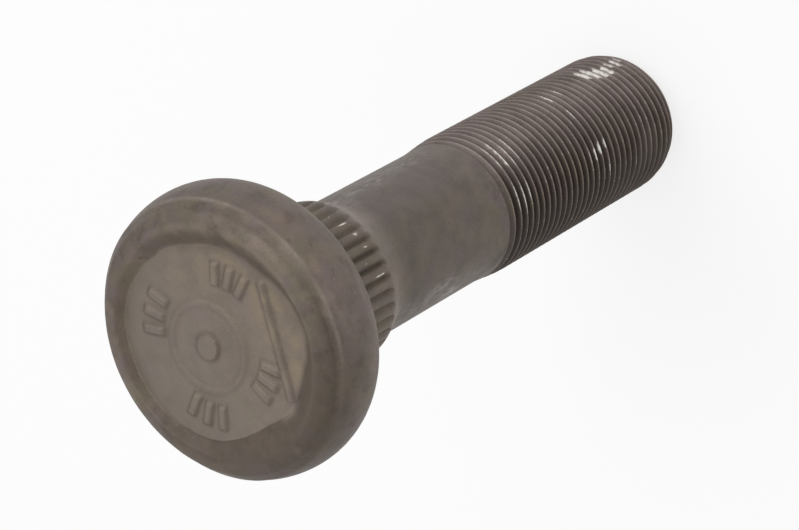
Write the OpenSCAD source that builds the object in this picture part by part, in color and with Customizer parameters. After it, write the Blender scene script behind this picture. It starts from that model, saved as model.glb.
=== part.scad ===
// A wheel stud: round head with a shallow recess, ribbed neck, plain waist and a long
// metric thread. It stands on the end of its thread, with the head at the top.

/* [Stud] */
// length from the end of the thread to the seat under the head
under_head_l = 91.8; // [70:0.1:130]
// the piece to draw: all, or the stud

/* [Head] */
// widest diameter of the head
head_d = 42.12; // [36:0.02:50]
// height of the head from its seat to the crest of the rim
head_t = 12; // [10:0.1:16]
// height of the widest line above the seat
head_belt_h = 5.45; // [4.5:0.05:5.8]
// how far the rounding under the head reaches inwards
head_low_in = 4.2; // [3:0.1:5]
// how far the rounding under the head would reach down
head_low_down = 6; // [5.85:0.05:8]
// how far the rounding of the face reaches inwards
head_top_in = 4.15; // [3.5:0.05:4.5]
// how far the rounding of the face would reach up
head_top_up = 6.8; // [6.6:0.05:7.2]
// diameter of the rim's crest
rim_d = 34; // [32:0.1:35]

/* [Recess] */
// diameter of the recess's floor
floor_d = 28.6; // [24:0.1:29]
// depth of the recess below the rim's crest
recess_depth = 1.25; // [0.8:0.05:1.8]
// width of the recess's sloping wall
recess_wall_w = 1.9; // [1:0.1:2.1]
// how far the floor is off the axis in X
floor_off_x = 0.85; // [0:0.05:1]
// how far the floor is off the axis in Y
floor_off_y = 1.1; // [0:0.05:1.2]
// slope of the floor, which is shallower on the -X side
floor_tilt = 0.6; // [0:0.1:0.8]
// outside diameter of the raised ring on the floor
ring_d = 13.5; // [9:0.1:16]
// width of the raised ring
ring_w = 0.9; // [0.6:0.1:1.5]
// height of the raised ring
ring_h = 0.25; // [0.15:0.05:0.5]
// how far the raised ring is off the axis in Y
ring_off_y = 1.9; // [0:0.1:2]

/* [Neck] */
// diameter over the ribs
rib_d = 24; // [23.4:0.1:26]
// number of ribs
rib_n = 36; // [30:1:40]
// depth of the gaps between the ribs
rib_gap_depth = 0.55; // [0.45:0.05:0.6]
// width of the gaps between the ribs
rib_gap_w = 1.04; // [0.92:0.04:1.12]
// where the shoulder reaches the ribs' full height, above the end of the thread
shoulder_z1 = 78.6; // [60:0.1:84]
// distance from the top of the gaps to the seat, less than the fillet's radius
rib_gap_end = 0.9; // [0.6:0.1:0.9]
// radius of the fillet under the head
fillet_r = 1.2; // [1.1:0.1:1.4]
// angle of one rib's middle from the X axis
rib_phase = 8; // [0:0.5:10]

/* [Waist] */
// diameter of the plain waist
waist_d = 20.92; // [20.4:0.02:21.2]
// height of the sloping shoulder between waist and ribs
shoulder_h = 4.2; // [3:0.1:6]

/* [Thread] */
// thread diameter over the crests
thread_d = 22; // [21.4:0.1:22]
// thread pitch
pitch = 1.5; // [1.5:0.5:1.5]
// depth of the thread's grooves
thread_depth = 0.92; // [0.6:0.02:0.94]
// width of the flat on each crest
crest_w = 0.19; // [0.15:0.01:0.3]
// height of the topmost groove's middle
thread_top = 47.35; // [40:0.05:50]
// grooves that fade out at the top of the thread
fading = 3; // [1:1:4]
// how far the swelling of the shank reaches above the topmost groove
runout_above = 4; // [3.5:0.1:6]
// height over which the shank swells from the waist to the full thread
runout_l = 8; // [6:0.1:9]
// how far the rounding at the thread's end reaches inwards
end_in = 4.23; // [3:0.01:4.5]
// height of the rounding at the thread's end
end_up = 5.3; // [4:0.1:6]
// how far that rounding would reach below the end face
end_over = 0.92; // [0.3:0.02:1]

/* [Hidden] */
$fn = 96;
arc_n = 6;
over = 1;
thread_r = thread_d / 2;
waist_r = waist_d / 2;
rib_r = rib_d / 2;
head_r = head_d / 2;
rim_r = rim_d / 2;
top_z = under_head_l + head_t;
belt_z = under_head_l + head_belt_h;
runout_z = thread_top + runout_above - runout_l;
rib_z1 = under_head_l - rib_gap_end;
rib_gap_r = rib_gap_w / 2;
shoulder_z0 = shoulder_z1 - shoulder_h;
end_reach = end_up + end_over;
groove_n = floor(thread_top / pitch) - 1;
groove_half = (pitch - crest_w) / 2;
groove_z0 = thread_top - (groove_n - 1) * pitch;
floor_z = top_z - recess_depth;
floor_r = floor_d / 2;
recess_k = recess_wall_w / recess_depth;
recess_top = recess_depth + over;
ring_r = ring_d / 2;
ring_side = ring_h / 2;

// Share of a smooth rise that is reached at x of its way, from 0 to 1.
function ease(x) = x * x * (3 - 2 * x);

// Radius of the thread's rounded end at height z: an ellipse that ends at the crests.
function end_r(z) = thread_r - end_in * (1 - sqrt(1 - pow((end_up - z) / end_reach, 2)));

// Radius of the shank at height z, where it goes from the full thread to the waist.
function runout_r(z) = thread_r + (waist_r - thread_r) * ease(min(1, (z - runout_z) / runout_l));

// Radius over the crests at height z.
function crest_r(z) = z < end_up ? end_r(z) : z > runout_z ? runout_r(z) : thread_r;

// Outline of the rounded end, from the end face to just below the lowest groove.
function end_arc() = [for (i = [0 : arc_n])
    let (z = (groove_z0 - groove_half - crest_w) * i / arc_n)
    [end_r(z), z]];

// Outline of the ring grooves; the topmost ones are shallower.
function groove_line() = [for (i = [0 : groove_n - 1])
    let (z = groove_z0 + i * pitch,
        share = min(1, (groove_n - i) / (fading + 1)),
        half = groove_half * share)
    each [
        [crest_r(z - half), z - half],
        [thread_r - thread_depth * share, z],
        [crest_r(z + half), z + half]]];

// Outline of the run-out, from just above the topmost groove to the waist.
function runout_line() = [for (i = [1 : arc_n])
    let (z = thread_top + groove_half + (runout_above - groove_half) * i / arc_n)
    [runout_r(z), z]];

// Outline of the shoulder between waist and ribs.
function shoulder_line() = [for (i = [0 : arc_n])
    [waist_r + (rib_r - waist_r) * ease(i / arc_n), shoulder_z0 + shoulder_h * i / arc_n]];

// Outline of the hollow fillet between neck and seat.
function fillet_line() = [for (i = [0 : arc_n])
    let (t = 90 * i / arc_n)
    [rib_r + fillet_r * (1 - cos(t)), under_head_l - fillet_r * (1 - sin(t))]];

// Outline of the rounding under the head: part of an ellipse.
function low_arc() = [for (i = [0 : arc_n])
    let (t = -asin(head_belt_h / head_low_down) * (1 - i / arc_n))
    [head_r - head_low_in * (1 - cos(t)), belt_z + head_low_down * sin(t)]];

// Outline of the rounding of the face, up to just below the rim's crest.
function face_arc() = [for (i = [1 : arc_n])
    let (t = 60 * i / arc_n)
    [head_r - head_top_in * (1 - cos(t)), belt_z + head_top_up * sin(t)]];

// Outline of the rim, and the level face inside it.
function rim_line() = [
    [rim_r + 0.95, top_z - 0.24],
    [rim_r + 0.4, top_z - 0.05],
    [rim_r, top_z],
    [rim_r - 0.5, top_z - 0.06],
    [0, top_z - 0.06]];

// The round body, without the gaps between its ribs and without the recess.
module body() {
    rotate_extrude()
        polygon(concat([[0, 0]], end_arc(), groove_line(), runout_line(), shoulder_line(),
            fillet_line(), low_arc(), face_arc(), rim_line()));
}

// The gaps between the ribs: round grooves that begin where the shoulder has risen.
module rib_gaps() {
    for (i = [0 : rib_n - 1])
        rotate([0, 0, rib_phase + (i + 0.5) * 360 / rib_n])
            translate([rib_r - rib_gap_depth + rib_gap_r, 0, shoulder_z0 + over])
                cylinder(h = rib_z1 - shoulder_z0 - over, r = rib_gap_r);
}

// Puts a form on the recess's floor, a little off the axis and a little tilted.
module on_floor() {
    translate([floor_off_x, floor_off_y, floor_z])
        rotate([0, floor_tilt, 0])
            children();
}

// The raised ring on the floor of the recess.
module floor_ring() {
    rotate_extrude()
        polygon([
            [ring_r - ring_w, -over],
            [ring_r, -over],
            [ring_r, 0],
            [ring_r - ring_side, ring_h],
            [ring_r - ring_w + ring_side, ring_h],
            [ring_r - ring_w, 0]]);
}

// The whole stud, forged and turned in one piece.
module stud() {
    color([0.26, 0.24, 0.22]) {
        difference() {
            body();
            rib_gaps();
            on_floor()
                cylinder(h = recess_top, r1 = floor_r, r2 = floor_r + recess_k * recess_top);
        }
        on_floor()
            translate([-floor_off_x, ring_off_y - floor_off_y, 0])
                floor_ring();
    }
}

stud();
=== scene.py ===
import math
import bpy
import numpy as np
from mathutils import Matrix, Vector


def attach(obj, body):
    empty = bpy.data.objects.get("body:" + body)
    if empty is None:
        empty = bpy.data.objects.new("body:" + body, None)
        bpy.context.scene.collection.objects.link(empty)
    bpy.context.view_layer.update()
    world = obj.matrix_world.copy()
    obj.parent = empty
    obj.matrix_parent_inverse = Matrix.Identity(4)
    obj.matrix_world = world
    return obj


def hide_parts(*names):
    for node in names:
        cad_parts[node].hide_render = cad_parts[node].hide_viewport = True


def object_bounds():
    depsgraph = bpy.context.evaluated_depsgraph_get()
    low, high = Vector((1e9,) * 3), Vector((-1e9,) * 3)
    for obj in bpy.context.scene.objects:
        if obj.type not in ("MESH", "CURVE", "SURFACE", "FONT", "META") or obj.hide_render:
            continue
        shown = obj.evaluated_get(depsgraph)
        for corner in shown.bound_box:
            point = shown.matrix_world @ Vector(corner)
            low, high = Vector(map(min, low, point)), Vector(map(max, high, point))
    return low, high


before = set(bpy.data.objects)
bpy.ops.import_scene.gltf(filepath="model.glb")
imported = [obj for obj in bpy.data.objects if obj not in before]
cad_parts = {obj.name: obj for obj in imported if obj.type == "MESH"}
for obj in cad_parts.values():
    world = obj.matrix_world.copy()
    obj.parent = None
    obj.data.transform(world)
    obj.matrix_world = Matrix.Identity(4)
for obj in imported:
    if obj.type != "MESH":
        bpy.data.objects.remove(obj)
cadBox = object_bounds()
print("stage: frame loaded")

# the stud stands on its thread; the picture looks down at its head, turned on its side
cameraValues = {
    "place": (0.0, -0.322905, 0.427531),   # metres
    "right": (-0.48962, -0.65488, -0.57568),
    "up": (0.87192, -0.36304, -0.32858),
    "lens": 154.232,
    "sensor": 36.0,
    "clip": (0.02, 20),
}


def makeCamera(v):
    # a camera whose three axes are given; its back axis is right x up
    right, up = Vector(v["right"]).normalized(), Vector(v["up"]).normalized()
    back = right.cross(up)
    data = bpy.data.cameras.new("camera")
    data.lens, data.sensor_width = v["lens"], v["sensor"]
    data.clip_start, data.clip_end = v["clip"]
    camera = bpy.data.objects.new("camera", data)
    turn = Matrix((right, up, back)).transposed().to_4x4()
    camera.matrix_world = Matrix.Translation(v["place"]) @ turn
    bpy.context.scene.collection.objects.link(camera)
    bpy.context.scene.camera = camera


makeCamera(cameraValues)
bpy.context.scene.view_settings.view_transform = "Standard"
print("stage: camera")

# The stud is one mesh of sheets, in millimetres. Each point also has eight marks for the steel,
# in this order: painted shade in grooves and gaps; bare metal, with painted highlights on the ribs;
# soot and painted shade; tone, which makes it lighter or darker and is mostly painted light and
# shade; tan; grey; haze and painted sheen; scuffs, painted highlights and painted sheen. The third
# and the last four are colours on top.
markNames = ("grooveShade", "wearAndGlint", "sootAndShade", "tone", "tan", "grey", "hazeAndSheen", "scuffAndSheen")

studValues = {
    "columns": 144,                # around the thread and the waist, and twice as many above
    "behind": (115, 172),          # where marks of the camera side fade, in degrees from it
    "pitch": 1.5,
    "crestZ": 46.6,                # a crest's height on the side that faces the camera
    "threadR": 11.0,
    "threadDepth": 0.92,
    "flatHalf": 0.11,              # half the flat on a crest
    "grooveSoft": 0.06,            # rounding between flat and flank
    "grooveLift": 0.012,
    "threadRows": (0, 10, 18, 40, 58, 72, 86, 104, 126, 134),   # in 1/144 of a pitch
    "lowZ": 0.1, "highZ": 51.1,    # bottom and top of the thread's sheet
    "endIn": 4.23, "endUp": 5.3, "endReach": 6.22,   # the rounded end's ellipse
    "endRings": (8.85, 8.2, 6, 4, 2, 0),             # radii on the end face
    "endFade": ((0.1, 0.85, 2.35, 3.85, 5.5), (0.1, 0.2, 0.5, 0.87, 1)),   # height, grooves' depth
    "topFade": (46.0, 48.6),       # where the topmost grooves end
    "runOut": (43.35, 51.0),       # from the full thread to the waist
    "waistR": 10.46,
    "waistRows": 12,
    "splitZ": 73.5, "neckZ": 74.2,     # between these the columns double
    "neckRows": ((77.0, 7), (79.6, 13), (89.2, 11), (91.6, 12), (91.75, 1), (91.8, 1)),   # up to, rows
    "shoulder": (74.3, 78.7),
    "ribs": 36,
    "ribPhase": 8.0,               # degrees from X to a rib's middle
    "ribR": 12.0, "ribDepth": 0.58,
    "gapLow": 79.3, "gapLowEnd": 1.1,      # the gaps' round lower ends
    "gapHigh": 90.0, "gapHighEnd": 0.9,    # and their upper ends
    "gapHalf": 0.36, "gapSoft": 0.02,      # half a gap's width, as a share of the rib spacing
    "fillet": 1.2,
    "seatZ": 91.8,
    "topZ": round(1000 * cadBox[1][2], 3),
    "headR": round(1000 * cadBox[1][1], 2) - 0.005,   # just inside the CAD's box
    "beltUp": 5.45,                # the widest line above the seat
    "seatRings": (13.2, 14.5, 16.2, 17.8),
    "lowIn": 4.2, "lowDown": 6.0,      # ellipse of the rounding under the head
    "faceIn": 4.15, "faceUp": 6.8,     # ellipse of the rounding of the face
    "rim": ((18.5, 0.42), (18.05, 0.23), (17.7, 0.12), (17.35, 0.03), (17.0, 0)),   # radius, drop
    "ridgeZ": 101.7, "ridgeRough": 0.13,
    "ridgeUp": 0.1, "ridgeHalf": 0.6,
    "hollowIn": 0.11, "hollowOff": 0.9, "hollowHalf": 0.8,
}


def rise(x, low, high):
    # smooth rise from 0 at low to 1 at high: t * t * (3 - 2 t)
    t = np.clip((x - low) / (high - low), 0, 1)
    return t * t * (3 - 2 * t)


def bump(x, half):
    # smooth hill that is 1 at x = 0 and 0 beyond +-half
    return 1 - rise(np.abs(x), 0, half)


def ragged(t, seed):
    # an uneven line round the stud: sines of 7, 13, 23 and 41 waves, about -1 to 1
    return sum(np.sin(n * t + seed * n) / math.sqrt(n) for n in (7, 13, 23, 41)) / 0.9


def growth(row, x):
    # amount * rise, for a row of amount, low and high
    amount, low, high = row
    return amount * rise(x, low, high)


def wrap(angle):
    # the same direction between -180 and 180 degrees: remainder of a full turn
    return (angle + 180) % 360 - 180


def sideOf(theta):
    # degrees from the side that faces the camera, positive towards the picture's lower edge
    return wrap(-90 - np.degrees(theta))


def facing(t, angle, low, high):
    # how well t points to an angle from X: a rise over the cosine of the angle between them
    return rise(np.cos(t - math.radians(angle)), low, high)


def facingSum(rows, t):
    # sum of amount * facing, for rows of angle, low cosine, high cosine and amount
    return sum(amount * facing(t, angle, low, high) for angle, low, high, amount in rows)


def patchSum(rows, z, side):
    # sum of amount * hill in height * hill in angle, for rows of soft patches
    return sum(amount * bump(z - height, halfZ) * bump(wrap(side - angle), halfSide)
               for height, angle, halfZ, halfSide, amount in rows)


def bandSum(rows, z, side):
    # sum of amount * hill in angle * rise between two heights, from none to full
    return sum(amount * bump(wrap(side - angle), halfSide) * rise(z, none, full)
               for angle, halfSide, none, full, amount in rows)


def around(columns):
    # angles of the columns, from -270 to 90 degrees, the last column on the first
    return np.radians(-270 + 360 * np.arange(columns + 1) / columns)


def ringPoints(radius, z, theta):
    # points of a surface that turns about Z: (r cos t, r sin t, z)
    r, h, t = np.broadcast_arrays(radius, z, theta)
    return np.stack([r * np.cos(t), r * np.sin(t), h], axis=-1)


def lathe(profile, theta):
    # a list of (r, z) turned about Z, one row of points for each pair
    rz = np.array(profile, float)
    return ringPoints(rz[:, :1], rz[:, 1:], theta[None, :])


wearAndGlintValues = {
    "up": 0.8,                     # share of its depth by which a mark moves towards the head
    "thread": (
        # height, angle from the camera side, half height, half angle, depth, brightness
        (12.3, -51, 0.7, 14, 0.45, 1.0),
        (10.8, -48, 0.65, 17, 0.42, 1.0),
        (9.3, -44, 0.65, 13, 0.45, 1.0),
        (7.8, -42, 0.6, 11, 0.42, 1.0),
        (6.3, -47, 0.55, 8, 0.35, 0.85),
        (4.8, -45, 0.5, 10, 0.35, 0.95),
        (3.3, -48, 0.45, 7, 0.25, 0.75),
        (13.8, -51, 0.3, 8, 0.02, 0.45),
        (45.3, -22, 0.5, 17, 0.03, 0.6),
        (43.8, -21, 0.6, 21, 0.06, 0.74),
        (42.2, -16, 0.5, 17, 0.03, 0.64),
        (40.8, -22, 0.55, 19, 0.04, 0.6),
        (39.3, -22, 0.3, 14, 0.01, 0.35),
        (45.0, 16, 0.2, 19, 0.01, 0.66),
        (43.5, 17, 0.2, 21, 0.01, 0.72),
        (42.0, 14, 0.2, 17, 0.01, 0.64),
        (25.6, 18, 0.2, 14, 0.01, 0.55),
        (24.2, 16, 0.4, 9, 0.06, 0.85),
        (22.8, 14, 0.5, 7, 0.1, 0.95),
        (21.3, 12, 0.45, 7, 0.06, 0.85),
        (21.2, 30, 0.2, 15, 0.01, 0.6),
        (22.7, 34, 0.2, 10, 0.01, 0.45),
        (24.3, -44, 0.45, 10, 0.05, 0.75),
        (21.2, -46, 0.45, 8, 0.05, 0.65),
        (24.3, -21, 0.35, 8, 0.04, 0.7),
        (27.3, -22, 0.25, 14, 0.01, 0.35),
        (18.3, -25, 0.25, 14, 0.01, 0.35),
        (30.4, -20, 0.25, 12, 0.01, 0.3),
        (10.4, 9, 0.25, 5, 0.01, 0.55),
        (13.4, 40, 0.2, 8, 0.01, 0.45),
        (11.8, 41, 0.2, 6, 0.01, 0.4),
        (4.5, 38, 0.2, 12, 0.01, 0.4),
    ),
    # bright spots on the rib ends, without depth: worn metal and painted highlights
    "ribs": (
        (80.6, -28.6, 1.3, 1.15, 0, 1.0),
        (80.4, -18.2, 1.1, 1.15, 0, 1.0),
        (80.5, -7.6, 1.1, 1.1, 0, 0.9),
        (80.4, 13.4, 1.7, 1.15, 0, 1.0),
        (82.0, 2.9, 1.3, 1.0, 0, 0.5),
        (81.0, -39.3, 1.6, 1.1, 0, 0.55),
        (84.0, -17.8, 1.6, 1.0, 0, 0.4),
        (84.5, -7.4, 1.2, 1.0, 0, 0.35),
        (78.3, -17, 0.5, 1.2, 0, 0.5),
        (78.0, -51, 0.8, 3, 0, 0.5),
        (76.8, -50, 0.6, 2.5, 0, 0.6),
        (77.0, -16, 0.35, 5, 0, 0.35),
    ),
}


def crestMiddle(height, angle, depth, side, v):
    # height of the crest nearest to a mark, at each side: it falls by one pitch in a turn
    turn = round((height - v["crestZ"]) / v["pitch"] + angle / 360)
    return v["crestZ"] + v["pitch"] * (turn - side / 360) + wearAndGlintValues["up"] * depth


def wearAndGlintAt(zone, theta, z, v):
    # worn depth and brightness: smooth hills in height and angle, the deepest one counts;
    # on the thread a mark lies on the nearest crest and follows it round; on the ribs there is no
    # depth and the brightness is worn metal and painted highlights
    side = sideOf(theta)
    worn, shine = np.zeros_like(z), np.zeros_like(z)
    for height, angle, halfZ, halfSide, depth, light in wearAndGlintValues[zone]:
        middle = crestMiddle(height, angle, depth, side, v) if zone == "thread" else height
        hill = bump(z - middle, halfZ) * bump(wrap(side - angle), halfSide)
        hill = rise(hill, 0.05, 0.5)
        worn = np.maximum(worn, depth * hill)
        shine = np.maximum(shine, light * hill)
    return worn, shine


def threadEnvelope(z, v):
    # radius over the crests: ellipse at the end, full thread, then a smooth fall to the waist
    x = np.clip((v["endUp"] - z) / v["endReach"], 0, 1)
    low = v["threadR"] - v["endIn"] * (1 - np.sqrt(1 - x * x))
    high = v["threadR"] + (v["waistR"] - v["threadR"]) * rise(z, *v["runOut"])
    return np.where(z < v["endUp"], low, high)


def threadGroove(phase, v):
    # depth below the crest for a place in the pitch: flat crest, 60 degree flank with a rounded
    # start, flat root
    u = np.abs(phase - np.round(phase)) * v["pitch"]
    flank = (u - v["flatHalf"]) * math.sqrt(3)
    soft = v["grooveSoft"]
    d = 0.5 * (flank + np.sqrt(flank * flank + soft * soft)) - v["grooveLift"]
    return np.minimum(np.maximum(d, 0), v["threadDepth"])


def threadSheet(v):
    # rows follow the helix, z = row + pitch * turns, and are cut level at both ends
    n, p, base = v["columns"], v["pitch"], v["crestZ"]
    theta = around(n)[None, :]
    steps = np.arange(n + 1)[None, :] - n // 2
    unit = p / n
    first = math.floor((v["lowZ"] - base) / p) - 1
    last = math.ceil((v["highZ"] - base) / p) + 1
    turns = np.arange(first, last + 1)[:, None] * n + np.array(v["threadRows"])[None, :]
    low, high = [base + unit * round((end - base) / unit) for end in (v["lowZ"], v["highZ"])]
    z = np.clip(base + unit * (turns.reshape(-1, 1) + steps), low, high)
    phase = (z - base) / p - steps / n
    share = np.interp(z, *v["endFade"]) * (1 - rise(z, *v["topFade"]))
    groove = threadGroove(phase, v) * share
    worn, shine = wearAndGlintAt("thread", theta + 0 * z, z, v)
    points = ringPoints(threadEnvelope(z, v) - np.maximum(groove, worn), z, theta)
    crest = 1 - rise(groove - worn, 0.02, 0.12 + 0.3 * worn)
    marks = threadMarks(sideOf(theta), z, groove, crest, v)
    marks["wearAndGlint"] = np.maximum(shine, 0.3 * rise(share, 0, 0.5)) * crest
    return points, marks


threadLook = {
    "edge": (46.6, 48.4),          # height over which the thread's colours end
    # patches: height, angle from the camera side, half height, half angle, amount
    "pale": ((17.9, -56, 0.9, 30, 1.0), (13, -52, 4, 22, 0.25), (43, -24, 5, 26, 0.8),
             (23, -48, 5, 16, 0.5), (35, -29, 4, 14, 0.45), (9.5, 28, 4.5, 32, 0.6)),
    "dim": ((14.5, -57, 4.5, 20, 0.45), (8, -62, 5, 24, 0.3), (2.5, -4, 3.5, 30, 0.25)),
    "smear": ((23, -72, 13, 26, 1.0),),
    # the first amount is the painted highlight on the crests
    "crestTone": 0.85, "paleTone": 0.45, "paleHaze": 0.5,
    "smearTone": 0.05, "smearHaze": 0.45, "smearFades": 0.7,
    "fadedTone": 0.15, "fadedCrest": 0.5, "fadedGroove": 0.55,
    # painted light a little above the camera side
    "upperTone": (28, 34, 0.5),    # degrees above the camera side, half angle, amount
    # what grows towards the picture's lower edge, where the crests lose their painted highlight and
    # painted shade darkens them: amount, from and to, in degrees
    "lowCrest": (1.1, 12, 52), "lowTone": (0.4, 24, 50), "lowGroove": (0.14, 25, 50),
    "lowGrey": (0.9, 18, 50), "firstGroove": (0.55, -45, -5),
    # what grows towards the upper edge: haze and painted sheen, flatter painted highlights and groove
    # shade, and a darker tone
    "highHazeAndSheen": (1, -28, 45), "highFades": (0.45, 38, 72), "highTone": (0.14, 45, 62),
    "highEnd": (0.65, -15, 20),
    # what grows towards the end face: amount, from and to, in height
    "endTone": (0.4, 9, 2), "endGroove": (0.17, 24, 16),
}


def threadMarks(side, z, groove, crest, v):
    # products of rises and hills over height and side: painted shade in the grooves, painted
    # highlights on the crests that fade into painted shade on the lower side, haze and painted sheen on
    # the upper side, patches, and a smooth smear on the upper edge
    look = threadLook
    front = 1 - rise(np.abs(side), *v["behind"])
    thread = 1 - rise(z, *look["edge"])
    pale, dim, smear = [patchSum(look[part], z, side) for part in ("pale", "dim", "smear")]
    lower = 1 - growth(look["lowCrest"], side) * front
    faded = growth(look["highFades"], -side) * front + look["smearFades"] * smear
    faded = np.clip(faded, 0, 1) * thread
    middle, half, amount = look["upperTone"]
    # painted highlight on the crests, weaker on the lower side, and painted light above the camera side
    tone = (look["crestTone"] * crest * lower + amount * bump(side + middle, half)) * thread
    tone += growth(look["endTone"], z) * (1 - growth(look["highEnd"], -side) * front)
    # darker towards the upper edge, and painted shade on the lower side's crests
    tone -= growth(look["highTone"], -side) * front
    tone -= growth(look["lowTone"], side) * front * crest * thread
    tone += look["paleTone"] * pale - look["smearTone"] * smear - dim
    tone -= (look["fadedCrest"] * crest * lower + look["fadedTone"]) * faded
    # haze and painted sheen, strongest towards the upper edge
    hazeAndSheen = growth(look["highHazeAndSheen"], -side) * front * (0.35 + 0.65 * thread)
    hazeAndSheen = np.clip(hazeAndSheen + look["paleHaze"] * pale, 0, 1)
    hazeAndSheen = np.clip(hazeAndSheen - look["smearHaze"] * smear, 0, 1)
    hollow = 1 - growth(look["lowGroove"], side) * front - growth(look["endGroove"], z)
    hollow = hollow - look["fadedGroove"] * faded
    topmost = v["crestZ"] + v["pitch"] / 4 - v["pitch"] * side / 360
    first = bump(z - topmost, v["pitch"]) * growth(look["firstGroove"], side) * front
    # painted shade in the grooves
    grooveShade = rise(groove, -0.04, 0.22) * hollow * (1 - first) * thread
    grey = growth(look["lowGrey"], side) * front * thread
    return {"grooveShade": grooveShade, "hazeAndSheen": hazeAndSheen, "tone": tone, "tan": smear, "grey": grey}


waistLook = {
    # painted light on the shoulder, down to its lower edge
    "slope": (1.2, 74.5, 76),      # light on the shoulder: amount, from and to, in height
    "slopeTop": (0.75, 77.6, 79.5),        # share by which it fades again
    "slopeHigh": (0.5, 18, 45),    # and share that fades towards the upper edge, in degrees
    "slopeRough": 0.22,
    "foot": (0.7, 73.0, 74.0),     # where its lower edge begins
    "ringTone": (71, 4, -0.14),    # a darker ring: height, half height, amount
    "scuffAndSheenTop": (80, 78.6),
    "greyBand": (-6, 34, 79, 78, 1),
    # bands: angle from the camera side, half angle, heights where there is none and all of it
    # painted sheen along both edges of the view
    "sheenBands": ((-68, 24, 49, 56, 0.4), (64, 18, 52, 57, 0.4)),
    "toneBands": ((-39, 30, 74, 72, -0.4),),
    "hazeBands": ((-38, 29, 80, 78, 0.7),),
    # patches: height, angle from the camera side, half height, half angle, amount
    "scuffAndSheen": ((74.5, -50, 4, 17, 0.5), (65.5, -57, 2.2, 13, 0.5), (69.0, -58, 3.5, 11, 0.45),
              (55.0, -60, 4, 9, 0.3), (64.0, 53, 5.5, 11, 0.55), (60.5, 69, 3.4, 12, 1.0),
              (72.5, 56, 4.5, 10, 0.12), (77.0, -30, 2.0, 30, 0.22)),
    "tone": ((72.1, 25, 1.5, 42, -0.8), (72.5, 55, 5, 20, -0.5), (60, 71, 5, 15, 0.45)),
    "hazeAndSheen": ((75, 52, 4, 16, 0.4), (72.1, 25, 1.5, 45, 0.6)),
}


def waistMarks(theta, z, v):
    # scuffs and painted sheen along both edges of the view, painted light on the slope, a darker
    # band below it, and a hazy strip on the upper side: rises and hills over height and side
    look = waistLook
    side = sideOf(theta)
    front = 1 - rise(np.abs(side), *v["behind"])
    # scuffs, with painted sheen along both edges of the view
    scuffAndSheen = patchSum(look["scuffAndSheen"], z, side) + bandSum(look["sheenBands"], z, side)
    scuffAndSheen = np.clip(scuffAndSheen, 0, 1) * rise(z, *look["scuffAndSheenTop"])
    foot = rise(z, *look["foot"][1:])
    # painted light on the slope
    tone = growth(look["slope"], z) * (1 - growth(look["slopeTop"], z))
    tone = tone + look["foot"][0] * foot * (1 - rise(z, *look["slope"][1:]))
    tone = tone * (1 - growth(look["slopeHigh"], -side) * front)
    tone = tone * (1 + look["slopeRough"] * ragged(theta, 5))
    height, half, amount = look["ringTone"]
    tone = tone + amount * bump(z - height, half)
    tone = tone + patchSum(look["tone"], z, side) + bandSum(look["toneBands"], z, side)
    hazeAndSheen = patchSum(look["hazeAndSheen"], z, side) + bandSum(look["hazeBands"], z, side)
    grey = foot * bandSum([look["greyBand"]], z, side)
    return {"scuffAndSheen": scuffAndSheen, "tone": tone, "hazeAndSheen": hazeAndSheen, "grey": grey}


def waistSheet(top, theta, v):
    # the thread's topmost ring, then even rows of the envelope up to the split
    heights = np.linspace(v["highZ"], v["splitZ"], v["waistRows"])[1:]
    rows = [(float(threadEnvelope(np.array(z), v)), z) for z in heights]
    points = np.concatenate([top[None], lathe(rows, theta)])
    return points, waistMarks(theta[None, :], points[..., 2], v)


def doublingStrip(coarse, fine, v):
    # joins a ring to one with twice the columns: three triangles for each coarse column
    low = lathe([(v["waistR"], v["splitZ"])], coarse)[0]
    high = lathe([(v["waistR"], v["neckZ"])], fine)[0]
    a = np.arange(len(coarse) - 1)
    b = 2 * a + len(coarse)
    faces = [np.stack(corners, 1) for corners in
             ((a, a + 1, b + 1), (a, b + 1, b), (a + 1, b + 2, b + 1))]
    return np.concatenate([low, high]), np.concatenate(faces)


def neckHeights(v):
    # even rows from each height to the next, close at the shoulder and at the fillet
    starts = [v["neckZ"]] + [high for high, rows in v["neckRows"]]
    groups = [np.linspace(low, high, rows, endpoint=False)
              for low, (high, rows) in zip(starts, v["neckRows"])]
    return np.concatenate(groups + [[v["seatZ"]]])[:, None]


def neckSurface(v, theta, z):
    # shoulder that rises to the ribs' height, cut by gaps with rounded ends and rounded lips
    shoulder = v["waistR"] + (v["ribR"] - v["waistR"]) * rise(z, *v["shoulder"])
    a = (np.degrees(theta) - v["ribPhase"]) / (360 / v["ribs"])
    off = 0.5 - np.abs(a - np.round(a))
    low = np.clip((v["gapLow"] - z) / v["gapLowEnd"], 0, 1)
    high = np.clip((z - v["gapHigh"]) / v["gapHighEnd"], 0, 1)
    ends = np.sqrt(np.clip(1 - low * low, 0, 1)) * np.sqrt(np.clip(1 - high * high, 0, 1))
    reach = v["gapHalf"] * ends
    gap = 1 - rise(off, reach * 0.05, reach + v["gapSoft"])
    gap = np.where(reach > 0.005, gap, 0) * (1 - 0.5 * low) * (1 - 0.5 * high)
    f = v["fillet"]
    up = np.clip(z - v["seatZ"] + f, 0, f)
    fillet = f - np.sqrt(np.clip(f * f - up ** 2, 0, None))
    return shoulder + fillet - v["ribDepth"] * gap, gap


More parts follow.
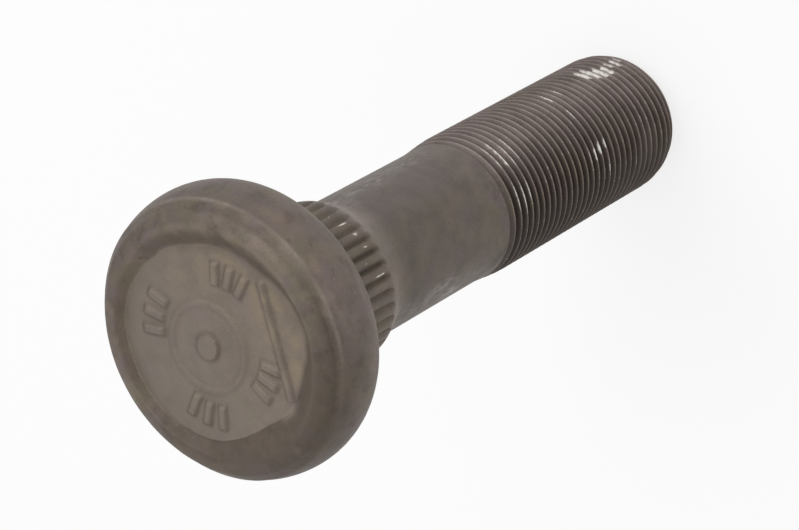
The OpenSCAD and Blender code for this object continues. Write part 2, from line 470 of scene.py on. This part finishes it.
def neckSheet(theta, v):
    # the neck's surface, with the waist's marks on it, painted shade in the gaps that is strongest
    # facing the camera, and bright spots on the ribs: worn metal and painted highlights on the rib ends
    t, z = theta[None, :], neckHeights(v)
    radius, gap = neckSurface(v, t + 0 * z, z + 0 * t)
    marks = waistMarks(t, z, v)
    marks["scuffAndSheen"] = marks["scuffAndSheen"] * (1 - gap)
    marks["tone"] = marks["tone"] * (1 - gap)
    # painted shade in the gaps, strongest facing the camera
    marks["grooveShade"] = rise(gap, 0.3, 1.0) * (0.14 + 0.6 * bump(sideOf(t) - 4, 42))
    marks["tan"] = 0.7 * gap + 0.25 * rise(z, 79, 80)
    # bright spots on the rib ends: worn metal and painted highlights
    marks["wearAndGlint"] = wearAndGlintAt("ribs", t + 0 * z, z + 0 * t, v)[1]
    return ringPoints(radius, z, t), marks


def headProfile(v):
    # fillet, seat, rounding under the head, belt, rounding of the face and crest of the rim
    belt = v["seatZ"] + v["beltUp"]
    seat = [(r, v["seatZ"]) for r in v["seatRings"]]
    low = [(v["headR"] - v["lowIn"] * (1 - math.cos(a)), belt + v["lowDown"] * math.sin(a))
           for a in np.linspace(-math.asin(v["beltUp"] / v["lowDown"]), 0, 10)]
    face = [(v["headR"] - v["faceIn"] * (1 - math.cos(a)), belt + v["faceUp"] * math.sin(a))
            for a in np.linspace(0, math.radians(60), 13)[1:]]
    rim = [(r, v["topZ"] - drop) for r, drop in v["rim"]]
    return np.array(seat + low + face + rim)


headLook = {
    "faceR": 18,                   # the ridge's marks lie outside this radius
    # painted highlight along the ridge, partly a worn line
    "lineHalf": 0.42, "lineRough": 0.4, "lineScuffAndHighlight": 0.35,   # the light line on the ridge
    "lineGaps": ((-122, 13, 0.55), (-84, 9, 0.6)),   # angle from X, half angle, amount
    # painted shade in the hollow inside the ridge
    "hollowOff": 0.75, "hollowHalf": 0.6, "hollowTone": -0.45,
    # painted highlight on the rim's crest
    "crispZ": (103.72, 103.8), "crispTone": 0.6,     # light on the rim's crest
    "rimZ": (101.9, 102.5),        # between the shades of the flank and of the rim
    # soot and painted shade growing up the flank on the -X side
    "sootAndShade": (0.85, 95, 101.5),     # amount, from and to, in height
    # directions: angle from X, low and high cosine
    "lineFacing": (-66, 0.1, 0.72), "hollowFacing": (-116, 0.75, 0.97),
    "crispFacing": (-45, 0.4, 0.85), "sootAndShadeFacing": (180, 0.05, 0.9),
    # the same, with an amount: painted light and shade by direction
    "rimShade": ((-8, 0.3, 0.95, -0.32), (-132, 0.2, 0.9, -0.45), (-82, 0.75, 0.98, 0.3),
                 (140, 0.8, 0.98, -0.25)),
    "flankShade": ((10, 0.3, 0.95, -0.2), (-90, 0.4, 0.95, 0.14), (180, 0.3, 0.95, -0.16)),
    # soft patches: stains, and painted light and shade
    "stainsAndShade": (
        # height, angle from X, half height, half angle, then tone, tan, haze and soot
        (98.8, -28, 1.8, 11, -0.35, 0, 0.3, 0.2),
        (100.6, -14, 1.0, 8, -0.25, 0, 0, 0.35),
        (97.6, -47, 1.3, 5, -0.3, 0, 0, 0.35),
        (99.8, -58, 2.2, 9, 0.1, 0.8, 0, 0),
        (97.0, -72, 2.2, 6, -0.2, 0, 0.35, 0),
        (100.2, -84, 1.7, 8, 0.45, 0.5, 0, 0),
        (94.6, -84, 1.6, 12, 0.1, 0.2, 0, 0),
        (96.4, -105, 2.2, 16, -0.42, 0, 0.35, 0),
        (100.8, -95, 1.0, 7, 0.4, 0, 0.3, 0),
        (100.2, -106, 1.1, 9, 0.3, 0, 0.25, 0),
        (102.8, -93, 0.9, 7, 0.45, 0.1, 0.1, 0),
        (103.3, -105, 0.5, 7, -0.25, 0, 0.2, 0.2),
        (101.9, -76, 1.5, 12, 0.4, 0.3, 0.3, 0),
        (98.8, -124, 3.2, 13, -0.5, 0, 0.35, 0.15),
        (96.0, -128, 1.4, 6, 0.35, 0.3, 0, 0),
        (100.8, -141, 1.3, 7, -0.3, 0, 0, 0.7),
        (98.6, -160, 1.5, 9, -0.25, 0, 0.2, 0.4),
        (103.55, -167, 0.35, 4, 0.8, 0, 0.3, 0),
        (101.6, 170, 0.5, 4, -0.5, 0, 0, 0.8),
        (100.0, 150, 1.4, 7, -0.2, 0, 0, 0.5),
        (103.0, 32, 0.7, 9, -0.35, 0, 0, 0.6),
        (102.4, 55, 0.8, 7, -0.3, 0.2, 0, 0.5),
        (102.2, 12, 0.6, 8, -0.3, 0, 0, 0.5),
    ),
}


def stainAndShadeSums(t, z):
    # tone, tan, haze and soot, each a patch sum with its own column of amounts
    stainsAndShade = headLook["stainsAndShade"]
    return [patchSum([(*row[:4], row[part]) for row in stainsAndShade], z, np.degrees(t))
            for part in (4, 5, 6, 7)]


def headMarks(t, z, ridge, onFace):
    # painted highlight on the ridge, painted shade in its hollow, painted light and shade that follow
    # the direction, and stains that carry painted light and shade as well
    look = headLook
    line = onFace * bump(ridge, look["lineHalf"])
    line = line * np.clip(1 + look["lineRough"] * ragged(t, 9), 0.3, 1.4)
    gaps = [amount * bump(wrap(np.degrees(t) - angle), half)
            for angle, half, amount in look["lineGaps"]]
    lit = facing(t, *look["lineFacing"]) - sum(gaps)
    hollow = onFace * bump(ridge - look["hollowOff"], look["hollowHalf"])
    crisp = rise(z, *look["crispZ"]) * facing(t, *look["crispFacing"])
    rim = rise(z, *look["rimZ"])
    tone, tan, hazeAndSheen, sootAndShade = stainAndShadeSums(t, z)
    # painted highlights on the ridge and on the rim's crest
    tone = tone + line * lit + look["crispTone"] * crisp
    # painted shade in the hollow, then painted light and shade by direction on the rim and the flank
    tone = tone + look["hollowTone"] * hollow * facing(t, *look["hollowFacing"])
    tone = tone + rim * facingSum(look["rimShade"], t)
    tone = tone + (1 - rim) * facingSum(look["flankShade"], t)
    # soot and painted shade on the -X side
    sootAndShade = sootAndShade + growth(look["sootAndShade"], z) * facing(t, *look["sootAndShadeFacing"])
    return {"scuffAndSheen": look["lineScuffAndHighlight"] * line * np.maximum(lit, 0), "tone": tone, "hazeAndSheen": hazeAndSheen,
            "tan": np.minimum(tan, 1), "sootAndShade": np.minimum(sootAndShade, 1)}


def headSheet(foot, theta, v, recess):
    # the turned profile, with a ridge of uneven height and a hollow inside it, and a rim that
    # sits a little off the axis: its shift grows from the face's edge inwards
    profile = headProfile(v)
    r, z, t = profile[:, :1], profile[:, 1:], theta[None, :]
    onFace = r > headLook["faceR"]
    ridge = z - v["ridgeZ"] - v["ridgeRough"] * ragged(t, 1)
    hollow = v["hollowIn"] * bump(ridge - v["hollowOff"], v["hollowHalf"])
    r = np.minimum(r + onFace * (v["ridgeUp"] * bump(ridge, v["ridgeHalf"]) - hollow), v["headR"])
    share = (1 - rise(r, *recess["shiftOver"])) * (z > recess["shiftZ"])
    shiftX, shiftY = rimShift(theta, recess)
    points = ringPoints(r, z, t) + np.stack([shiftX * share, shiftY * share, 0 * share], -1)
    points[0] = foot
    return points, headMarks(t, z, ridge, onFace)


recessValues = {
    # the floor's edge: angle from X in degrees, distance from the axis
    "edge": ((0, 14.5), (9, 14.6), (16, 14.85), (28, 15.25), (40, 15.7), (51, 16.0), (62, 16.1),
             (72, 16.1), (84, 16.05), (99, 15.8), (116, 15.55), (137, 14.8), (153, 14.0),
             (166, 13.3), (180, 13.1), (191, 13.15), (202, 13.9), (209, 14.4), (216, 14.1),
             (230, 14.6), (242, 15.4), (256, 15.7), (267, 15.5), (280, 14.9), (292, 14.25),
             (307, 14.1), (320, 14.15), (334, 13.95), (342, 13.95), (351, 14.2), (360, 14.5)),
    "edgeRough": 0.1,
    "crestR": 17.0,
    "rimX": -0.08, "rimY": -0.12, "rimRough": 0.09,
    "shiftOver": (17.0, 19.2), "shiftZ": 102,      # the rim's shift ends at the face's edge
    "wallShare": (0.08, 0.2, 0.35, 0.5, 0.65, 0.8, 0.92, 1.0),   # of the way to the floor
    "wallFall": ((0, 0.08, 0.2, 0.35, 0.92, 1), (0, 0.025, 0.1, 0.28, 0.95, 1)),   # way, fall
    # soot and painted shade down the wall
    "wallSootAndShade": ((0, 0.2, 0.6, 0.95, 1), (0, 0.15, 0.75, 0.85, 0.5)),   # way, soot
    # painted highlight where the floor's edge is turned up
    "lip": (204, 15),              # where the edge is turned up: angle from X, half angle
    "offX": 0.5, "offY": 0.0, "floorZ": 102.45,
    "tilt": 0.022,                 # rise of the floor towards -X, per millimetre
    "footShare": (0.99, 0.97),
    "rings": 44,
    "ringR": 6.75, "ringWidth": 1.0, "ringHeight": 0.25, "ringX": 0.1, "ringY": 1.9,
    "groups": ((45, 10.9), (135, 10.9), (212, 9.2), (312, 10.0)),   # angle and distance
    "dashTurns": (-13, 0, 13),     # degrees from a group's middle
    # soot and painted shade around the feet of the ring and the raised marks
    "dashHalf": (0.85, 1.9), "dashFoot": (1.25, 2.3), "dashHeight": 0.42, "dashSootAndShade": 0.8,
    "dashSoft": 0.45, "markSoft": 0.5, "footSoft": 0.6,      # width over which an edge falls
    "bar": ((-12.0, -6.9), (4.6, -12.4)),
    "barHalf": 0.75, "barFoot": 1.2, "barHeight": 0.4, "barEnd": 0.6, "barSootAndShade": 0.8,
    "dotR": 2.1, "dotFoot": 2.6, "dotHeight": 0.4, "dotSootAndShade": 0.7, "ringSootAndShade": 0.45,
}


def rimShift(theta, v):
    # how far the rim's crest is off its circle: a fixed shift and an uneven reach
    uneven = v["rimRough"] * ragged(theta, 2)
    return v["rimX"] + uneven * np.cos(theta), v["rimY"] + uneven * np.sin(theta)


def floorEdge(v, t):
    # the table of the edge, read at 13 angles around each column and averaged
    angle, reach = np.array(v["edge"]).T
    mean = sum(np.interp((np.degrees(t) + d) % 360, angle, reach) for d in range(-6, 7)) / 13
    return mean + v["edgeRough"] * ragged(t, 3)


def floorHeight(v, x):
    # a plane that rises towards -X
    return v["floorZ"] - v["tilt"] * (x - v["offX"])


def recessSheet(v, theta, topZ):
    # rings that slide from the rim's circle to the floor's own edge, then shrink to its middle
    t = theta[None, :]
    w = np.array(v["wallShare"])[:, None]
    k = np.concatenate([v["footShare"], np.linspace(0.95, 0, v["rings"])])[:, None]
    edge = floorEdge(v, t)
    ex, ey = edge * np.cos(t), edge * np.sin(t)
    shiftX, shiftY = rimShift(t, v)
    rx, ry = v["crestR"] * np.cos(t) + shiftX, v["crestR"] * np.sin(t) + shiftY
    x, y = rx + (ex - rx) * w, ry + (ey - ry) * w
    z = topZ + (floorHeight(v, ex) - topZ) * np.interp(w, *v["wallFall"])
    fx, fy = v["offX"] + (ex - v["offX"]) * k, v["offY"] + (ey - v["offY"]) * k
    relief, foot = floorRelief(v, fx, fy)
    floor = np.stack([fx, fy, floorHeight(v, fx) + relief], -1)
    wall = wallMarks(v, t, w, x, y)
    flat = floorMarks(v, t, k, fx, fy, foot)
    marks = {mark: np.concatenate([wall[mark], flat[mark]]) for mark in wall}
    return np.concatenate([np.stack([x, y, z], -1), floor]), marks


def lipAt(v, t):
    # a hill over the angle, where the floor's edge is turned up; painted highlight lifts the wall's
    # foot and the floor's edge there
    middle, half = v["lip"]
    return bump(wrap(np.degrees(t) - middle), half)


def wallMarks(v, t, w, x, y):
    # soot and painted shade grow down the wall and are strongest on the -X side; painted light makes
    # the +Y side lighter
    angle = np.degrees(t)
    # painted highlight on the wall's foot where the floor's edge is turned up, with no soot there
    low = lipAt(v, t) * rise(w, 0.7, 0.95)
    sootAndShade = np.interp(w, *v["wallSootAndShade"])
    sootAndShade = np.maximum(sootAndShade * (1 - 0.95 * rise(y, -6, 7)), 0.95 * facing(t, 180, 0.08, 0.6))
    # painted light on the +Y side and towards +X, painted shade around 140 degrees from X
    ease = 0.45 * (1 - 0.85 * rise(angle % 360, 100, 135)) + 0.65 * bump(wrap(angle - 55), 55)
    ease = ease * rise(y, -6, 8) * rise(w, 0, 0.3)
    ease = ease + 0.15 * rise(x, 8, 13) * (1 - rise(y, -1, 4)) - 0.35 * facing(t, 140, 0.8, 0.98)
    tone = np.interp(w, [0, 0.4], [0.0, -0.2]) + ease + 0.9 * low
    tan = 0.3 * rise(-y, 5, 12) + 0.4 * rise(x, 6, 12) * (1 - rise(y, -2, 4))
    return {"sootAndShade": sootAndShade * (1 - low), "tone": tone, "tan": tan, "grey": 0 * sootAndShade}


def floorMarks(v, t, k, x, y, foot):
    # soot and painted shade at the feet of the wall and of the raised marks, tan towards -Y and +X,
    # grey elsewhere
    # soot and painted shade at the feet
    foot = np.maximum(foot, 0.8 * rise(k, 0.955, 0.985) * rise(-y, 6, 10))
    foot = np.maximum(foot, 0.42 * rise(-y, 12.4, 14.6) * rise(x + 7, 0, 4))
    foot = np.maximum(foot, 0.4 * rise(k, 0.86, 0.98) * rise(x, 5, 10) * (1 - rise(y, -3, 3)))
    tan = rise(-y, 6, 11) * (1 - 0.5 * rise(-y, 12.6, 15))
    tan = np.clip(tan + 0.6 * rise(x, 4, 11) * (1 - rise(y, -2, 8)), 0, 1) * (1 - foot)
    # painted highlight on the floor's edge where it is turned up
    tone = 0.72 + 0.5 * lipAt(v, t) * rise(k, 0.965, 0.99) + 0 * x
    grey = (0.35 + 0.65 * rise(y, -6, 8)) * (1 - 0.8 * foot)
    return {"sootAndShade": foot, "tone": tone, "tan": tan, "grey": grey}


def raisedOn(high, foot, form, near, height, sootAndShade):
    # adds a form of a given height and the soot and painted shade around its foot; the greater value
    # counts
    return np.maximum(high, height * form), np.maximum(foot, sootAndShade * (near - form))


def floorRelief(v, x, y):
    # the raised ring, dashes in groups around it, one plain bar and a dot in the middle:
    # each is a rise over the distance to its edge
    r = np.hypot(x - v["ringX"], y - v["ringY"])
    ring = r - v["ringR"] + v["ringWidth"] / 2
    hill, wide = bump(ring, v["ringWidth"] * 0.7), bump(ring, v["ringWidth"] * 1.3)
    high, foot = v["ringHeight"] * hill, v["ringSootAndShade"] * (wide - hill)
    reach, angle = np.hypot(x, y), np.degrees(np.arctan2(y, x))
    kinds = ((v["dashHalf"], v["dashSoft"]), (v["dashFoot"], v["footSoft"]))
    for middle, centre in v["groups"]:
        for turn in v["dashTurns"]:
            across = np.abs(np.radians(wrap(angle - middle - turn)) * reach)
            along = np.abs(reach - centre)
            dash, near = [rise(wide - across, 0, soft) * rise(long - along, 0, soft)
                          for (wide, long), soft in kinds]
            high, foot = raisedOn(high, foot, dash, near, v["dashHeight"], v["dashSootAndShade"])
    (ax, ay), (bx, by) = v["bar"]
    span, end = math.hypot(bx - ax, by - ay), v["barEnd"]
    ux, uy = (bx - ax) / span, (by - ay) / span
    along = (x - ax) * ux + (y - ay) * uy
    across = np.abs((y - ay) * ux - (x - ax) * uy)
    ends = rise(along, 0, end) * (1 - rise(along, span - end, span))
    bar = rise(v["barHalf"] - across, 0, v["markSoft"]) * ends
    near = rise(v["barFoot"] - across, 0, v["footSoft"]) * ends
    high, foot = raisedOn(high, foot, bar, near, v["barHeight"], v["barSootAndShade"])
    dot = rise(v["dotR"] - r, 0, v["markSoft"])
    near = rise(v["dotFoot"] - r, 0, v["footSoft"])
    high, foot = raisedOn(high, foot, dot, near, v["dotHeight"], v["dotSootAndShade"])
    return high, np.maximum(foot, 0)


def makeStud(v, recess):
    # the sheets from the end face to the recess's floor; each begins on the last one's ring
    coarse, fine = around(v["columns"]), around(2 * v["columns"])
    thread, threadParts = threadSheet(v)
    end = [thread[0]] + [lathe([(r, 0.0)], coarse)[0] for r in v["endRings"]]
    waist, waistParts = waistSheet(thread[-1], coarse, v)
    neck, neckParts = neckSheet(fine, v)
    head, headParts = headSheet(neck[-1], fine, v, recess)
    hollow, hollowParts = recessSheet(recess, fine, v["topZ"])
    hollow = np.concatenate([head[-1:], hollow])
    hollowParts = {mark: np.concatenate([value[:1], value]) for mark, value in hollowParts.items()}
    sheets = [(thread, threadParts), (np.array(end)[::-1], {}), (waist, waistParts),
              (neck, neckParts), (head, headParts), (hollow, hollowParts)]
    return joinedMesh("stud_detailed", sheets, doublingStrip(coarse, fine, v))


def joinedMesh(name, sheets, strip):
    # each square of a sheet becomes two triangles; the strip's own triangles follow at the end
    points, faces, count = [], [], 0
    fields = {mark: [] for mark in markNames}
    for sheet, parts in sheets:
        rows, columns = sheet.shape[:2]
        i = (np.arange(rows - 1)[:, None] * columns + np.arange(columns - 1)[None, :]).ravel() + count
        faces.append(np.stack([i, i + 1, i + columns + 1], 1))
        faces.append(np.stack([i, i + columns + 1, i + columns], 1))
        points.append(sheet.reshape(-1, 3))
        for mark in fields:
            fields[mark].append(parts.get(mark, np.zeros(rows * columns)).reshape(-1))
        count += rows * columns
    points.append(strip[0])
    faces.append(strip[1] + count)
    for mark in fields:
        fields[mark] = np.concatenate(fields[mark] + [np.zeros(len(strip[0]))])
    return weldedMesh(name, np.concatenate(points), np.concatenate(faces), fields)


def weldedMesh(name, points, faces, fields):
    # points that share a place become one, faces that lose a corner are dropped
    key = np.round(points * 1e4).astype(np.int64)
    _, first, back = np.unique(key, axis=0, return_index=True, return_inverse=True)
    faces = back.reshape(-1)[faces]
    a, b, c = faces.T
    faces = faces[(a != b) & (b != c) & (a != c)]
    co = points[first] / 1000   # metres
    mesh = bpy.data.meshes.new(name)
    mesh.vertices.add(len(co))
    mesh.vertices.foreach_set("co", co.ravel())
    mesh.loops.add(faces.size)
    mesh.loops.foreach_set("vertex_index", faces.ravel().astype(np.int32))
    mesh.polygons.add(len(faces))
    mesh.polygons.foreach_set("loop_start", np.arange(0, faces.size, 3, dtype=np.int32))
    mesh.update(calc_edges=True)
    mesh.validate()
    mesh.shade_smooth()
    for mark, value in fields.items():
        layer = mesh.attributes.new(mark, "FLOAT", "POINT")
        layer.data.foreach_set("value", value[first].astype(np.float32))
    piece = bpy.data.objects.new(name, mesh)
    bpy.context.scene.collection.objects.link(piece)
    print("stage:", name, len(faces), "triangles")
    return piece


stud = makeStud(studValues, recessValues)


class Field:
    # a socket that takes part in Python expressions; each operator adds a Math node
    def __init__(self, shade, socket):
        self.shade, self.socket = shade, socket

    def math(self, operation, first, second):
        # one Math node on two values, each a Field or a number
        return self.shade.node("ShaderNodeMath", {"operation": operation}, {0: first, 1: second})

    def __add__(self, other):
        return self.math("ADD", self, other)

    def __radd__(self, other):
        return self.math("ADD", self, other)

    def __sub__(self, other):
        return self.math("SUBTRACT", self, other)

    def __rsub__(self, other):
        return self.math("SUBTRACT", other, self)

    def __mul__(self, other):
        return self.math("MULTIPLY", self, other)

    def __rmul__(self, other):
        return self.math("MULTIPLY", self, other)

    def clamp(self):
        # the value cut to 0 to 1
        return self.shade.node("ShaderNodeClamp", {}, {"Value": self})

    def between(self, low, high):
        # 0 at low, 1 at high, smooth between
        return self.shade.node("ShaderNodeMapRange", {"interpolation_type": "SMOOTHSTEP"},
                               {"Value": self, "From Min": low, "From Max": high})


class Shade:
    # a material's nodes: one method adds any node from its type, settings and inputs
    def __init__(self, name):
        self.material = bpy.data.materials.new(name)
        self.material.use_nodes = True
        self.tree = self.material.node_tree
        self.tree.nodes.clear()

    def node(self, kind, settings=None, inputs=None, output=0):
        # a new node; a Field is linked to its input, any other value is set there
        made = self.tree.nodes.new(kind)
        for key, value in (settings or {}).items():
            setattr(made, key, value)
        for key, value in (inputs or {}).items():
            if isinstance(value, Field):
                self.tree.links.new(value.socket, made.inputs[key])
            else:
                made.inputs[key].default_value = value
        return Field(self, made.outputs[output]) if len(made.outputs) else None

    def mix(self, factor, low, high, blend="MIX"):
        # colour between low and high, or their product with MULTIPLY
        low, high = [(*c, 1) if isinstance(c, tuple) else c for c in (low, high)]
        return self.node("ShaderNodeMix", {"data_type": "RGBA", "blend_type": blend},
                         {0: factor, 6: low, 7: high}, 2)

    def noise(self, place, scale, detail, rough):
        # Blender's noise, 0 to 1 with its mean at 0.5, of scale waves per millimetre
        return self.node("ShaderNodeTexNoise", {}, {"Vector": place, "Scale": scale,
                                                    "Detail": detail, "Roughness": rough})


steelValues = {
    "dark": (0.082, 0.067, 0.054),
    "light": (0.156, 0.128, 0.104),
    "olive": (0.128, 0.114, 0.076),
    "violet": (0.122, 0.096, 0.1),
    "headTint": (1.06, 0.988, 0.935),
    "waistTint": (0.91, 0.865, 0.83),
    "threadTint": (1.035, 0.955, 0.935),
    # bare metal, also the painted highlights on the rib ends
    "bare": (0.88, 0.85, 0.8),
    # painted shade in grooves and gaps
    "groove": (0.034, 0.022, 0.0175),
    # soot and painted shade, and the dark blots
    "sootAndShade": (0.08, 0.058, 0.042),
    "fleck": (0.34, 0.32, 0.3),
    "pit": (0.03, 0.026, 0.022),
    # haze and painted sheen
    "hazeAndSheen": (0.195, 0.16, 0.148),
    "tan": (0.2, 0.168, 0.105),
    "grey": (0.128, 0.121, 0.108),
    # scuffs, painted highlights and painted sheen
    "scuffAndSheen": (0.4, 0.37, 0.36),
    "roughness": 0.55,
    "metallic": 0.35,
    "bumpStrength": 0.4,
    "bumpDistance": 0.00012,       # metres
    "scratchTurn": (0.6, 0.5, 0.3),        # radians
    "scratchScale": (2.4, 2.0, 0.3), "scratch": (1.3, 4.0, 0.6),
    # noises: waves per millimetre, detail, roughness, how far the pattern is moved
    "noises": {
        "cloud": (0.3, 5.0, 0.6, 0.0),
        "patch": (0.2, 3.0, 0.55, 31.0),
        "tint": (0.23, 3.0, 0.55, 77.0),
        "rag": (1.4, 3.0, 0.6, 41.0),
        "grain": (2.6, 4.0, 0.65, 13.0),
        "fine": (6.0, 2.0, 0.5, 3.0),
        "speck": (3.1, 2.0, 0.5, 53.0),
        "blot": (0.42, 3.0, 0.6, 61.0),
        "ripple": (0.9, 3.0, 0.5, 5.0),
        "wave": (0.22, 2.0, 0.5, 9.0),
    },
}


def steelNoises(s, mm, v):
    # every noise of the table, each in its own place: the position plus a fixed shift
    made = {}
    for name, (scale, detail, rough, move) in v["noises"].items():
        place = s.node("ShaderNodeVectorMath", {"operation": "ADD"},
                       {0: mm, 1: (move, move * 0.7, -move)})
        made[name] = s.noise(place, scale, detail, rough)
    return made


def makeSteel(v):
    # phosphated steel: cloudy brown grey, olive and violet stains, fine pits, bare worn crests, and
    # the painted light and shade that the marks carry; each layer is a mix whose factor is a mark, a
    # noise or a product of both
    s = Shade("phosphatedSteel")
    place = s.node("ShaderNodeTexCoord", {}, {}, 3)
    mm = s.node("ShaderNodeVectorMath", {"operation": "SCALE"}, {0: place, "Scale": 1000.0})
    height = s.node("ShaderNodeSeparateXYZ", {}, {"Vector": mm}, 2)
    n = steelNoises(s, mm, v)
    grooveShade, wearAndGlint, sootAndShade, tone, tan, grey, hazeAndSheen, scuffAndSheen = [
        s.node("ShaderNodeAttribute", {"attribute_name": mark}, {}, 2) for mark in markNames]

    # calmer clouds on the waist and on the recess's floor
    soft = height.between(50, 52) * height.between(90, 88)
    soft = (soft + tone.between(0.4, 0.45) * height.between(90, 95)).clamp()
    calm = 0.8 - soft * 0.35
    cloudy = 0.5 + (n["cloud"].between(0.3, 0.7) - 0.5) * (1 - soft * 0.45)
    colour = s.mix(cloudy, v["dark"], v["light"])
    flank = height.between(101.9, 101.2) * height.between(90, 92)
    colour = s.mix(flank * 0.35, colour, v["violet"])
    colour = s.mix(n["patch"].between(0.46, 0.66) * calm, colour, v["olive"])
    colour = s.mix(n["tint"].between(0.48, 0.68) * calm, colour, v["violet"])
    colour = s.mix((n["fine"] - 0.5) * 0.3 + 0.08, colour, v["fleck"])
    colour = s.mix(n["speck"].between(0.7, 0.78) * 0.5, colour, v["fleck"])
    colour = s.mix(n["grain"].between(0.36, 0.26) * 0.5, colour, v["pit"])
    colour = s.mix(n["blot"].between(0.55, 0.67) * (1 - soft) * 0.45, colour, v["sootAndShade"])
    colour = s.mix(tan * n["cloud"].between(0.3, 0.6) * 0.5, colour, v["tan"])
    colour = s.mix(grey * 0.5, colour, v["grey"])

    # each zone's tint, then painted shade in the grooves, haze and painted sheen, painted light and
    # shade from the tone, and soot and painted shade
    tint = s.mix(height.between(88, 93), v["waistTint"], v["headTint"])
    tint = s.mix(height.between(48.8, 47.2), tint, v["threadTint"])
    colour = s.mix(1.0, colour, tint, "MULTIPLY")
    colour = s.mix(grooveShade * 0.93, colour, v["groove"])
    colour = s.mix(hazeAndSheen * (0.6 + n["cloud"].between(0.3, 0.6) * 0.3), colour, v["hazeAndSheen"])
    colour = s.node("ShaderNodeHueSaturation", {}, {"Value": 1 + tone * 0.45, "Color": colour})
    colour = s.mix(sootAndShade * 0.6, colour, v["sootAndShade"])

    # scuffs, painted highlights and painted sheen are broken up by long scratches, and bare metal and
    # painted highlights on the ribs by grain
    stretched = s.node("ShaderNodeMapping", {}, {
        "Vector": mm, "Rotation": v["scratchTurn"], "Scale": v["scratchScale"]})
    scratch = s.noise(stretched, *v["scratch"]).between(0.46, 0.68) * 0.42
    broken = scratch + n["blot"].between(0.46, 0.64) * 0.34 + n["rag"].between(0.46, 0.66) * 0.3
    colour = s.mix(scuffAndSheen * broken, colour, v["scuffAndSheen"])
    bare = (wearAndGlint * 1.7 + n["rag"] * 1.6 + n["grain"] * 0.6 - 1.75).clamp() * wearAndGlint.between(0.05, 0.2)
    colour = s.mix(bare, colour, v["bare"])

    rough = v["roughness"] + (n["grain"] - 0.5) * 0.25 - bare * 0.2 + grooveShade * 0.3
    relief = n["grain"] * 0.5 + n["ripple"] + n["wave"] * 4.0
    normal = s.node("ShaderNodeBump", {}, {
        "Strength": v["bumpStrength"], "Distance": v["bumpDistance"], "Height": relief})
    shader = s.node("ShaderNodeBsdfPrincipled", {}, {
        "Base Color": colour, "Metallic": v["metallic"], "Roughness": rough.clamp(), "Normal": normal})
    s.node("ShaderNodeOutputMaterial", {}, {"Surface": shader})
    return s.material


stud.data.materials.append(makeSteel(steelValues))
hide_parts("stud")
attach(stud, "root")
print("stage: steel")

stageValues = {
    "floor": (0.93, 0.93, 0.93),
    "floorWhite": 0.78,            # share of plain white that the camera sees on the floor
    "floorSide": 3.0,              # half the floor's width, metres
    "floorZ": -0.0001,             # just below the end face
    "world": 0.62,
    "aim": (0, 0, 0.06),           # the lamps point at the middle of the stud
    "lamps": {
        # place, size, watts
        "key": ((0.5, -0.1, 0.85), 0.8, 4.2),
        "fill": ((-0.5, -0.8, 0.7), 0.9, 0.8),
        "back": ((-0.3, 0.9, 0.6), 0.8, 1.0),
    },
}


def makeFloor(v):
    # one square at the end of the thread; the camera sees it as a mix of its colour and white
    side, low = v["floorSide"], v["floorZ"]
    corners = [(x * side, y * side, low) for x, y in ((-1, -1), (1, -1), (1, 1), (-1, 1))]
    mesh = bpy.data.meshes.new("floor")
    mesh.from_pydata(corners, [], [(0, 1, 2, 3)])
    floor = bpy.data.objects.new("floor", mesh)
    bpy.context.scene.collection.objects.link(floor)
    s = Shade("paleFloor")
    lit = s.node("ShaderNodeBsdfDiffuse", {}, {"Color": (*v["floor"], 1)})
    white = s.node("ShaderNodeEmission", {}, {"Color": (1, 1, 1, 1), "Strength": 1.0})
    seen = s.node("ShaderNodeLightPath", {}, {}, 0)
    shader = s.node("ShaderNodeMixShader", {}, {0: seen * v["floorWhite"], 1: lit, 2: white})
    s.node("ShaderNodeOutputMaterial", {}, {"Surface": shader})
    mesh.materials.append(s.material)


def makeWorld(v):
    # plain light from all sides, which the camera sees as white
    world = bpy.data.worlds.new("world")
    bpy.context.scene.world = world
    world.use_nodes = True
    tree = world.node_tree
    tree.nodes.clear()
    path, light, seen, mix, out = [tree.nodes.new("ShaderNode" + kind) for kind in
                                   ("LightPath", "Background", "Background", "MixShader", "OutputWorld")]
    light.inputs["Color"].default_value = (1, 1, 1, 1)
    light.inputs["Strength"].default_value = v["world"]
    seen.inputs["Color"].default_value = (1, 1, 1, 1)
    tree.links.new(path.outputs["Is Camera Ray"], mix.inputs[0])
    tree.links.new(light.outputs[0], mix.inputs[1])
    tree.links.new(seen.outputs[0], mix.inputs[2])
    tree.links.new(mix.outputs[0], out.inputs[0])


def makeLamps(v):
    # soft square lamps, each turned so that its -Z points at the aim
    aim = Vector(v["aim"])
    for name, (place, size, watts) in v["lamps"].items():
        lamp = bpy.data.lights.new(name, "AREA")
        lamp.size, lamp.energy = size, watts
        holder = bpy.data.objects.new(name, lamp)
        holder.location = place
        holder.rotation_mode = "QUATERNION"
        holder.rotation_quaternion = (aim - Vector(place)).to_track_quat("-Z", "Y")
        bpy.context.scene.collection.objects.link(holder)


makeFloor(stageValues)
makeWorld(stageValues)
makeLamps(stageValues)
print("stage: floor and lamps")
